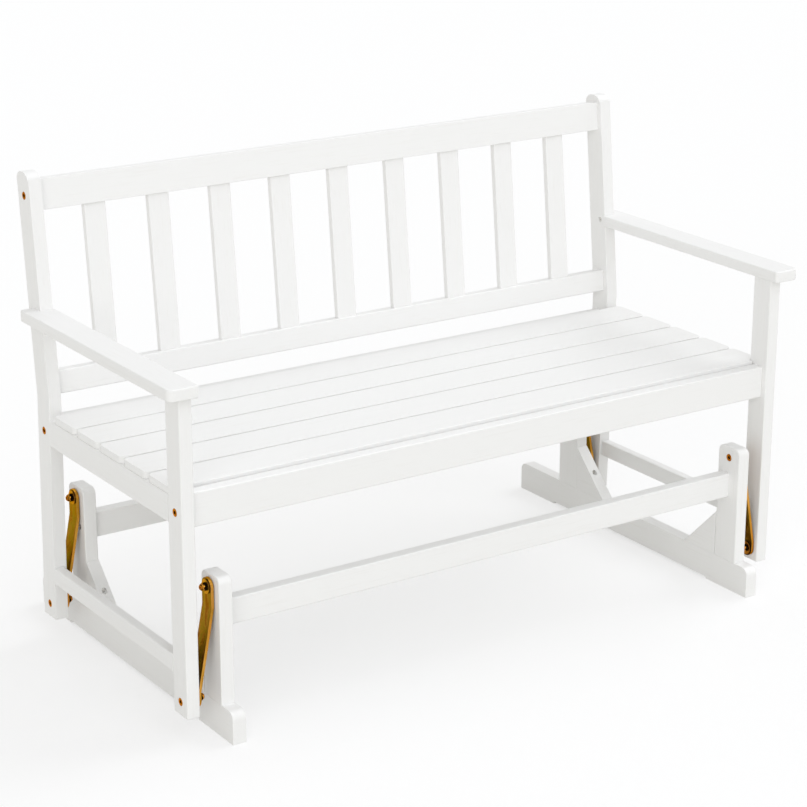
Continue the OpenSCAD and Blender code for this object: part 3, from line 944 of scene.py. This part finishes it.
@dataclass
class Rings:
    """The washers of one body, or the two bushes of one link."""

    tree: SizedTree
    node: str
    bore_radius: float
    softness: Softness

    def build(self) -> None:
        """Makes and hands over the set."""
        boxes = islands(self.node)
        low, high = boxes[0]
        places = [(a + b) / 2 for a, b in boxes]
        aims = [Vector((1.0, 0.0, 0.0))] * len(places)
        piece = object_with_places(self.node + "_set", places, aims)
        radius, half = (high.z - low.z) / 2, (high.x - low.x) / 2
        self.tree.put_on(piece, outer_radius=radius, bore_radius=self.bore_radius, thickness=2 * half,
                         finish=GOLD_ZINC.material())
        self.softness.put_on(piece)
        settle(piece)
        # Painted shade: near-black on each ring's outer wall.
        PaintedShadeRing((radius, radius), (-half, half), walls_only=True).darken(piece, places, aims)
        hand_over(piece, STEEL_SLOT if self.node.endswith("bushes") else ZINC_SLOT, self.node)


@dataclass
class LockNuts:
    """The lock nuts of one body."""

    tree: SizedTree
    node: str
    foot: End
    flats: float = 0.013
    hexagon_height: float = 0.0055
    collar_step: float = 0.001
    bore_radius: float = 0.00408
    groove_radius: float = 0.0050
    groove_depth: float = 0.0007
    hexagon_walls: tuple[float, float] = (0.0064, 0.0080)

    def build(self) -> None:
        """Makes and hands over the set."""
        places, aims, height = stations(self.node, X, self.foot)
        piece = object_with_places(self.node + "_set", places, aims)
        self.tree.put_on(
            piece, flats=self.flats, hexagon_height=self.hexagon_height, collar_step=self.collar_step,
            height=height, bore_radius=self.bore_radius, groove_radius=self.groove_radius,
            groove_depth=self.groove_depth, finish=GOLD_ZINC.material())
        settle(piece).data.set_sharp_from_angle(angle=SHARP_FROM)
        floor = height - self.groove_depth
        # The groove's floor is near-black, partly as the nut's dark nylon insert and partly as painted
        # shade; the hexagon's walls get painted shade.
        PaintedShadeRing((self.bore_radius, self.groove_radius), (floor, floor)).darken(piece, places, aims)
        PaintedShadeRing(self.hexagon_walls, (0.0, self.hexagon_height), True).darken(piece, places, aims)
        hand_over(piece, ZINC_SLOT, self.node)


def link_tree() -> SizedTree:
    """Builds the tree for a hanging link: a flat bar with round ends and two eyes, bent between them.

    Returns:
        The tree. The upper eye's inner face is at Start, and the lower eye is Pivots below it and Bend
        to the side.
    """
    tree = SizedTree("link", {
        "Start": "Vector", "Turn": "Vector", "Pivots": "Float", "Bend": "Float", "Top end": "Float",
        "Low end": "Float", "Width": "Float", "Thickness": "Float", "Eye radius": "Float"})
    given = tree.given
    length = tree.math("ADD", given["Pivots"], given["Width"])
    outline = tree.add("GeometryNodeCurvePrimitiveQuadrilateral",
                       {"Width": length, "Height": given["Width"]})
    ends = tree.add("GeometryNodeFilletCurve", {
        "Curve": outline, "Count": LINK_END_STEPS,
        "Radius": tree.times(given["Width"], NEARLY_HALF)}, mode="POLY")
    middle = tree.times(given["Pivots"], -0.5)
    # The side view, raised across the whole bend, cuts a longer and wider bent strip to shape.
    reach = tree.times(tree.math("ADD", given["Bend"], given["Thickness"]), 2.0)
    side_on = tree.add("GeometryNodeTransform", {
        "Geometry": tree.prism(ends, reach), "Rotation": (0.0, math.pi / 2, 0.0),
        "Translation": tree.vector(tree.times(reach, -0.25), 0.0, middle)})
    strip = tree.add("GeometryNodeMeshCube", {
        "Size": tree.vector(given["Thickness"], tree.times(given["Width"], 1.5),
                            tree.math("ADD", length, given["Width"])),
        "Vertices Z": LINK_BEND_STEPS})
    laid = tree.add("GeometryNodeTransform", {
        "Geometry": strip.outputs["Mesh"],
        "Translation": tree.vector(tree.times(given["Thickness"], 0.5), 0.0, middle)})
    height = tree.add("ShaderNodeSeparateXYZ", {0: tree.add("GeometryNodeInputPosition")}).outputs[2]
    bend_between = (tree.times(given["Top end"], -1.0),
                    tree.math("SUBTRACT", given["Low end"], given["Pivots"]))
    shift = tree.remap(height, bend_between, (0.0, given["Bend"]))
    bent = tree.add("GeometryNodeSetPosition", {"Geometry": laid, "Offset": tree.vector(shift.outputs[0])})
    flat = tree.combine("INTERSECT", bent, side_on)
    eye = tree.pocket(given["Eye radius"], reach, ROUND_SIDES)
    low = tree.times(given["Pivots"], -1.0)
    eyes = [tree.add("GeometryNodeTransform", {
        "Geometry": eye, "Rotation": (0.0, math.pi / 2, 0.0), "Translation": tree.vector(0.0, 0.0, z)})
        for z in (0.0, low)]
    drilled = tree.combine("DIFFERENCE", flat.outputs["Mesh"], *eyes)
    tree.close(tree.add("GeometryNodeTransform", {
        "Geometry": drilled.outputs["Mesh"], "Translation": given["Start"], "Rotation": given["Turn"]}))
    return tree


@dataclass
class Link:
    """One hanging link, whose edges get the brighter gold zinc as a painted reflection. The left ones are
    the right ones turned round.
    """

    tree: SizedTree
    node: str
    top_end: float = 0.033
    low_end: float = 0.014
    thickness: float = 0.005
    eye_radius: float = 0.00608
    edge_from: float = 0.6
    softness: Softness = Softness(0.0007, segments=2)

    def build(self) -> None:
        """Makes and hands over the link."""
        low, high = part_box(self.node)
        width = high.y - low.y
        on_left = low.x < 0
        inner_x = high.x if on_left else low.x
        piece = new_object(f"{self.node}_bar")
        self.tree.put_on(
            piece, start=(inner_x, (low.y + high.y) / 2, high.z - width / 2),
            turn=(0.0, 0.0, math.pi if on_left else 0.0), pivots=high.z - low.z - width,
            bend=high.x - low.x - self.thickness, top_end=self.top_end, low_end=self.low_end, width=width,
            thickness=self.thickness, eye_radius=self.eye_radius, finish=LINK_ZINC.material())
        self.softness.put_on(piece)
        mesh = settle(piece).data
        # Painted reflection: the edge faces, which face away from the flat sides, get the brighter gold
        # zinc.
        mesh.materials.append(GOLD_ZINC.material())
        for face in mesh.polygons:
            if abs(face.normal.x) < self.edge_from:
                face.material_index = len(mesh.materials) - 1
        hand_over(piece, ZINC_SLOT, self.node)


@dataclass(frozen=True)
class Lamp:
    """A wide studio lamp, so far away that it lights the whole floor evenly."""

    name: str
    azimuth: float
    elevation: float
    strength: float
    spread: float = 40.0
    colour: tuple[float, float, float] = (0.955, 0.965, 1.0)

    def build(self) -> None:
        """Makes the lamp. Azimuth 0 is in front of the bench, and 90 on its right-hand side."""
        data = bpy.data.lights.new(self.name, "SUN")
        data.energy = math.pi * self.strength
        data.angle = math.radians(self.spread)
        data.color = self.colour
        lamp = new_object(self.name, data)
        around, up = math.radians(self.azimuth), math.radians(self.elevation)
        back = Vector((math.sin(around) * math.cos(up), -math.cos(around) * math.cos(up), math.sin(up)))
        lamp.rotation_euler = back.to_track_quat("Z", "Y").to_euler()


@dataclass
class Studio:
    """A white floor that keeps the bench's shadow, an even white surround, soft lamps and the camera."""

    floor_size: float = 60.0
    floor_colour: tuple[float, float, float] = (0.8, 0.793, 0.765)
    floor_seen_colour: float = 0.40
    floor_seen_glow: float = 0.583
    surround: float = 0.57
    surround_colour: tuple[float, float, float] = (1.0, 0.995, 0.97)
    lamps: tuple[Lamp, ...] = (
        Lamp("right_side", 90.0, 45.0, 0.325, colour=(0.945, 0.965, 1.0)),
        Lamp("left_corner", -45.0, 15.0, 0.235, colour=(0.985, 0.985, 0.975)),
        Lamp("left_side", -45.0, 45.0, 0.03),
        Lamp("front", 0.0, 15.0, 0.04),
        Lamp("high_front", 0.0, 45.0, 0.15, colour=(0.94, 0.975, 1.06)),
        Lamp("overhead", 20.0, 65.0, 0.02),
        Lamp("rear", 180.0, 50.0, 0.04),
    )
    camera_place: tuple[float, float, float] = (-2.1849, -3.2769, 1.6889)
    camera_turn: tuple[float, float, float] = (71.484, -0.102, -33.71)
    focal_length: float = 105.96

    def build(self) -> None:
        """Makes everything round the bench."""
        self.build_camera()
        self.build_floor()
        self.build_surround()
        for lamp in self.lamps:
            lamp.build()
        bpy.context.scene.view_settings.view_transform = "Standard"

    def build_camera(self) -> None:
        """Makes the camera at the photograph's viewing angle."""
        data = bpy.data.cameras.new("camera")
        data.lens = self.focal_length
        camera = new_object("camera", data)
        camera.location = self.camera_place
        camera.rotation_euler = [math.radians(a) for a in self.camera_turn]
        bpy.context.scene.camera = camera

    @staticmethod
    def seen_directly(g: Graph) -> bpy.types.Node:
        """Adds the nodes that tell what the camera, or a mirror or glass, sees.

        Args:
            g: the tree.

        Returns:
            The node whose value is 1 for those rays and 0 for others.
        """
        path = g.add("ShaderNodeLightPath")
        shiny = g.math("MAXIMUM", path.outputs["Is Glossy Ray"], path.outputs["Is Transmission Ray"])
        return g.math("MAXIMUM", path.outputs["Is Camera Ray"], shiny)

    def build_floor(self) -> None:
        """Makes the floor."""
        half = self.floor_size / 2
        mesh = bpy.data.meshes.new("floor")
        mesh.from_pydata([(-half, -half, 0), (half, -half, 0), (half, half, 0), (-half, half, 0)],
                         [], [(0, 1, 2, 3)])
        floor = new_object("floor", mesh)
        made, g, _ = new_material("white_floor")
        made.node_tree.nodes.clear()
        matt = g.add("ShaderNodeBsdfDiffuse", {"Color": (*self.floor_colour, 1.0)})
        seen_matt = g.add("ShaderNodeBsdfDiffuse", {"Color": (self.floor_seen_colour,) * 3 + (1.0,)})
        glow = g.add("ShaderNodeEmission", {"Strength": self.floor_seen_glow})
        seen = g.add("ShaderNodeAddShader", {0: seen_matt, 1: glow})
        out = g.add("ShaderNodeOutputMaterial")
        g.feed(out.inputs["Surface"],
               g.add("ShaderNodeMixShader", {0: self.seen_directly(g), 1: matt, 2: seen}))
        mesh.materials.append(made)

    def build_surround(self) -> None:
        """Makes the even light from all round, which the camera sees as white."""
        world = bpy.data.worlds.new("white_surround")
        bpy.context.scene.world = world
        world.use_nodes = True
        world.node_tree.nodes.clear()
        g = Graph(world.node_tree)
        soft = g.add("ShaderNodeBackground",
                     {"Color": (*self.surround_colour, 1.0), "Strength": self.surround})
        white = g.add("ShaderNodeBackground", {"Color": WHITE, "Strength": 1.0})
        out = g.add("ShaderNodeOutputWorld")
        g.feed(out.inputs["Surface"],
               g.add("ShaderNodeMixShader", {0: self.seen_directly(g), 1: soft, 2: white}))


@dataclass
class Bench:
    """The whole glider bench."""

    sides: tuple[str, ...] = ("left", "right")
    ends: tuple[str, ...] = ("front", "rear")
    pivot_radius: float = 0.004
    pivot_play: float = 0.00008
    frame_bolt_radius: float = 0.003
    parts: list[object] = field(default_factory=list)

    def board_nodes(self) -> tuple[str, ...]:
        """Names the single boards.

        Returns:
            Their CAD nodes.
        """
        per_side = ("skid", "front_upright", "rear_upright", "front_gusset", "rear_gusset", "front_leg",
                    "rear_post", "seat_rail", "lower_rail", "armrest")
        across = ("front_stretcher", "rear_stretcher", "front_seat_rail", "rear_seat_rail",
                  "middle_seat_rail", "back_top_rail", "back_lower_rail")
        return tuple(f"{side}_{name}" for side in self.sides for name in per_side) + across

    def build(self) -> None:
        """Makes every piece, from the boards to the smallest screw."""
        slats, bolts, nuts, rings, links = (
            slat_row_tree(), fastener_tree(), lock_nut_tree(), ring_tree(), link_tree())
        socket = {"shank_radius": self.pivot_radius, "head_radius": 0.0065, "head_height": 0.004,
                  "recess_radius": 0.0031, "recess_depth": 0.0028}
        wood_screw = {"shank_radius": 0.0022, "head_radius": 0.0044, "head_height": 0.003,
                      "recess_radius": 0.0019, "recess_depth": 0.0016, "recess_sides": 4}
        frame_bolt = {**socket, "shank_radius": self.frame_bolt_radius}
        self.parts = [Boards(self.board_nodes()), SeatSlats(slats), BackSlats(slats)]
        self.parts += [
            Fasteners(bolts, "upper_pivot_bolts", X, End.INNER, **socket),
            Fasteners(bolts, "lower_pivot_bolts", X, End.OUTER, **socket),
            Fasteners(bolts, "frame_bolts", X, End.OUTER, **frame_bolt),
            Fasteners(bolts, "stretcher_bolts", X, End.OUTER, **frame_bolt),
            Fasteners(bolts, "gusset_screws", Y, End.INNER, **wood_screw, finish=PALE_ZINC),
            Fasteners(bolts, "skid_screws", Z, End.INNER, **wood_screw, finish=PALE_ZINC),
            Fasteners(bolts, "arm_screws", X, End.INNER, **wood_screw, finish=PALE_ZINC),
            LockNuts(nuts, "upper_lock_nuts", End.INNER),
            LockNuts(nuts, "lower_lock_nuts", End.OUTER),
        ]
        bore = self.pivot_radius + self.pivot_play
        self.parts += [Rings(rings, f"{place}_washers", bore, Softness(0.0003, segments=2))
                       for place in ("upper", "lower")]
        for side in self.sides:
            for end in self.ends:
                self.parts.append(Link(links, f"{side}_{end}_link"))
                self.parts.append(Rings(rings, f"{side}_{end}_bushes", bore, Softness(0.0002, segments=2)))
        for part in self.parts:
            part.build()


def main() -> None:
    """Builds the studio and the bench."""
    logging.basicConfig(level=logging.INFO, format="%(name)s: %(message)s")
    Studio().build()
    Bench().build()


if __name__ == "__main__":
    main()
